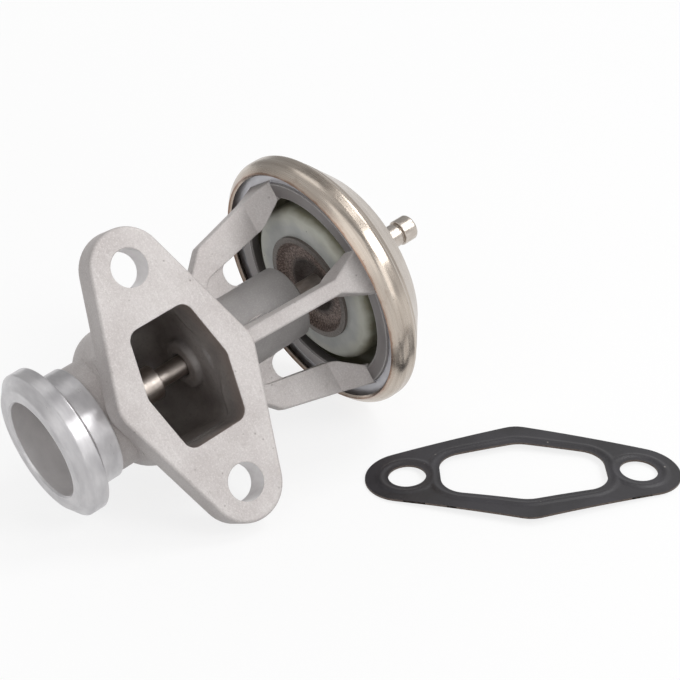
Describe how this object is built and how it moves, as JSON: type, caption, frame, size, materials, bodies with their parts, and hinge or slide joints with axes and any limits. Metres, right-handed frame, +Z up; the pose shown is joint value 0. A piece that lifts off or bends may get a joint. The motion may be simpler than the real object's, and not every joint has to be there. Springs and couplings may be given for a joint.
{
  "type": "egr valve",
  "caption": "Vacuum-operated exhaust gas recirculation valve: cast housing with two-bolt flange, V-band outlet collar, open legs, diaphragm can and loose flange gasket.",
  "frame": {"origin": "on the table, under the centre of the bounding box of the valve and its gasket as they lie", "axes": "+Z up from the table; +X the way the stem axis points from the outlet collar to the vacuum nozzle, seen from above (the stem rises 10.6 degrees along it); the flange face looks towards -Y and up"},
  "size_m": [0.129, 0.1204, 0.0661],
  "materials": {
    "cast_aluminium": "blasted die casting, collar turned bright",
    "seat_steel": "turned",
    "stem_steel": "ground, warm tint",
    "bush_bronze": "sintered",
    "packing_graphite": "matte graphite",
    "plated_steel": "zinc plated",
    "heat_tinted_steel": "heat tinted, rough",
    "diaphragm_rubber": "grey-green silicone, satin",
    "spring_steel": "oiled",
    "can_nickel": "nickel plated, satin",
    "nozzle_steel": "nickel plated",
    "gasket_coating": "matte charcoal coating on steel"
  },
  "bodies": {
    "valve_body": {"housing": "cast_aluminium", "valve_seat": "seat_steel", "lower_bush": "bush_bronze", "stem_packing": "packing_graphite", "packing_washer": "plated_steel", "upper_bush": "bush_bronze", "dust_cap": "plated_steel", "diaphragm": "diaphragm_rubber", "return_spring": "spring_steel", "spring_seat": "plated_steel", "clamp_ring": "plated_steel", "diaphragm_can": "can_nickel", "vacuum_nozzle": "nozzle_steel"},
    "poppet": {"valve_disc": "stem_steel", "poppet_hub": "stem_steel", "valve_stem": "stem_steel", "lower_plate": "heat_tinted_steel", "spring_cup": "plated_steel", "clamp_washer": "plated_steel", "stem_nut": "plated_steel"},
    "gasket": {"flange_gasket": "gasket_coating"}
  },
  "joints": [
    {"name": "valve_lift", "type": "slide", "parent": "valve_body", "child": "poppet", "axis": [0.9828, 0, 0.1848], "range_m": [0, 0.0055], "stiffness_N_per_m": 5000, "springref_m": -0.005, "deforming": ["return_spring", "diaphragm"]},
    {"name": "gasket_lift", "type": "slide", "parent": "valve_body", "child": "gasket", "axis": [0, 0, 1], "range_m": [0, 0.05]}
  ]
}
